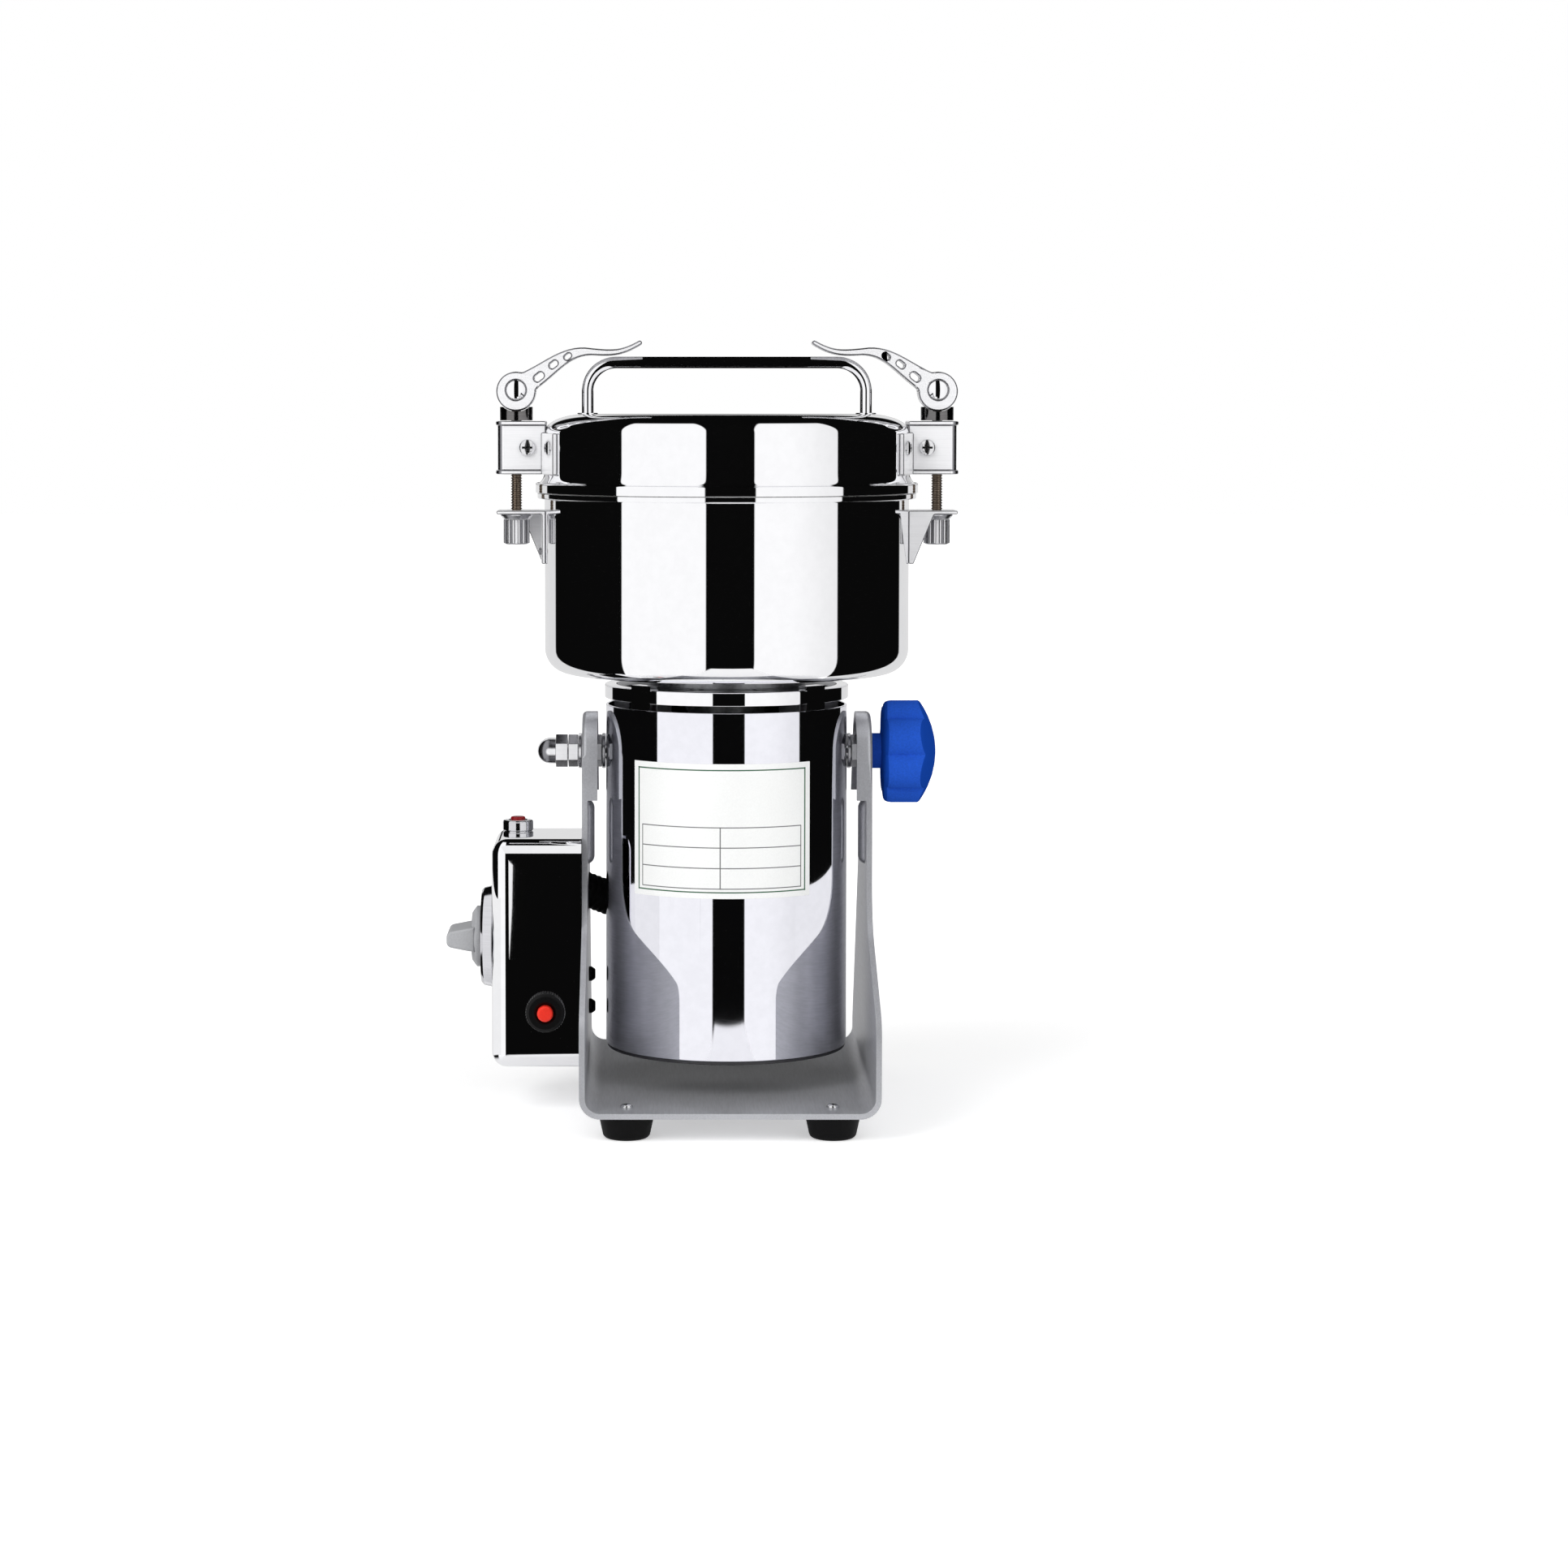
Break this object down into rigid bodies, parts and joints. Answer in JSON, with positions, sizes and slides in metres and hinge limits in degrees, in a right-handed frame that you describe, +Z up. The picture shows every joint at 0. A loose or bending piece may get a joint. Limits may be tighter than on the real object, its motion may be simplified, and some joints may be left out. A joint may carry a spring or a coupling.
{
  "type": "electric spice grinder",
  "caption": "Swing-type electric spice grinder: polished motor and bowl tilt in a U-shaped stand, with a lever-clamped lid, a timer box on one arm and a star knob on the other.",
  "frame": {"origin": "on the grinder's own axis at floor level, midway between the feet", "axes": "+X to the right of a person facing the front, towards the tilt knob; +Y to the back; +Z up along the grinder axis"},
  "size_m": [0.2315, 0.18, 0.3486],
  "materials": {
    "mirror_steel": "mirror polished stainless steel",
    "satin_steel": "satin stainless sheet",
    "bright_steel": "bright plated steel",
    "black_rubber": "matte black rubber",
    "black_plastic": "semi-gloss black plastic",
    "red_plastic": "gloss red plastic",
    "blue_plastic": "gloss blue plastic",
    "grey_plastic": "satin light grey plastic",
    "bezel_chrome": "bright plated bezel",
    "silicone": "pale silicone",
    "dark_paint": "dark painted steel",
    "cast_alloy": "cast aluminium",
    "lamination": "stacked iron laminations",
    "copper_wire": "enamelled copper wire",
    "brass": "bright brass",
    "carbon": "matte carbon"
  },
  "bodies": {
    "stand": {"stand_bracket": "satin_steel", "rubber_feet": "black_rubber", "foot_screws": "bright_steel", "control_box_shell": "mirror_steel", "box_screws": "black_plastic", "timer_dial": "bezel_chrome", "timer_mechanism": "dark_paint", "button_collar": "bright_steel", "power_switch": "black_plastic", "reset_collar": "black_plastic", "overload_breaker": "black_plastic", "cord_gland": "black_plastic", "motor_lead": "black_rubber"},
    "timer_knob": {"timer_knob": "grey_plastic", "timer_spindle": "bright_steel"},
    "power_button": {"power_button": "red_plastic"},
    "reset_button": {"reset_button": "red_plastic"},
    "grinder_body": {"motor_housing": "mirror_steel", "bottom_cover": "dark_paint", "cover_screws": "bright_steel", "motor_collar": "mirror_steel", "upper_end_shield": "cast_alloy", "lower_end_shield": "cast_alloy", "stator_core": "lamination", "field_coils": "copper_wire", "motor_bearings": "bright_steel", "brush_holders": "brass", "carbon_brushes": "carbon", "pivot_stud": "bright_steel", "hex_nuts": "bright_steel", "cap_nut": "bright_steel", "grinding_bowl": "mirror_steel", "bowl_screws": "bright_steel", "shaft_seal": "black_rubber", "clamp_shelves": "bright_steel", "thumb_nuts": "bright_steel"},
    "rotor": {"motor_shaft": "bright_steel", "armature_core": "lamination", "armature_winding": "copper_wire", "commutator": "brass", "cooling_fan": "black_plastic", "main_blade": "satin_steel", "upper_blade": "satin_steel", "blade_nut": "bright_steel"},
    "tilt_knob": {"tilt_knob": "blue_plastic", "tilt_bolt": "bright_steel"},
    "lid": {"lid": "mirror_steel", "lid_gasket": "silicone", "lid_handle": "bright_steel", "lid_brackets": "mirror_steel", "bracket_screws": "bright_steel"},
    "left_rod": {"left_clamp_rod": "bright_steel", "left_lever_pin": "bright_steel", "left_cam_washer": "bright_steel"},
    "left_lever": {"left_clamp_lever": "bright_steel"},
    "right_rod": {"right_clamp_rod": "bright_steel", "right_lever_pin": "bright_steel", "right_cam_washer": "bright_steel"},
    "right_lever": {"right_clamp_lever": "bright_steel"}
  },
  "joints": [
    {"name": "body_tilt", "type": "hinge", "parent": "stand", "child": "grinder_body", "pos_m": [0, 0, 0.162], "axis": [1, 0, 0], "range_deg": [0, 90], "deforming": ["motor_lead"]},
    {"name": "tilt_knob_turn", "type": "hinge", "parent": "grinder_body", "child": "tilt_knob", "pos_m": [0.08, 0, 0.162], "axis": [1, 0, 0], "continuous": true},
    {"name": "rotor_spin", "type": "hinge", "parent": "grinder_body", "child": "rotor", "pos_m": [0, 0, 0.2], "axis": [0, 0, 1], "continuous": true},
    {"name": "lid_lift", "type": "slide", "parent": "grinder_body", "child": "lid", "axis": [0, 0, 1], "range_m": [0, 0.1]},
    {"name": "left_rod_turn", "type": "hinge", "parent": "lid", "child": "left_rod", "pos_m": [-0.0953, 0, 0.3], "axis": [0, 0, 1], "continuous": true},
    {"name": "left_lever_flip", "type": "hinge", "parent": "left_rod", "child": "left_lever", "pos_m": [-0.0953, 0, 0.3259], "axis": [0, -1, 0], "range_deg": [0, 130]},
    {"name": "right_rod_turn", "type": "hinge", "parent": "lid", "child": "right_rod", "pos_m": [0.0953, 0, 0.3], "axis": [0, 0, 1], "continuous": true},
    {"name": "right_lever_flip", "type": "hinge", "parent": "right_rod", "child": "right_lever", "pos_m": [0.0953, 0, 0.3259], "axis": [0, 1, 0], "range_deg": [0, 130]},
    {"name": "timer_turn", "type": "hinge", "parent": "stand", "child": "timer_knob", "pos_m": [-0.11, 0, 0.077], "axis": [-1, 0, 0], "range_deg": [0, 300]},
    {"name": "power_press", "type": "slide", "parent": "stand", "child": "power_button", "axis": [0, 0, -1], "range_m": [0, 0.002], "stiffness_N_per_m": 400, "springref_m": -0.001},
    {"name": "reset_press", "type": "slide", "parent": "stand", "child": "reset_button", "axis": [0, 1, 0], "range_m": [0, 0.002], "stiffness_N_per_m": 400, "springref_m": -0.001}
  ]
}
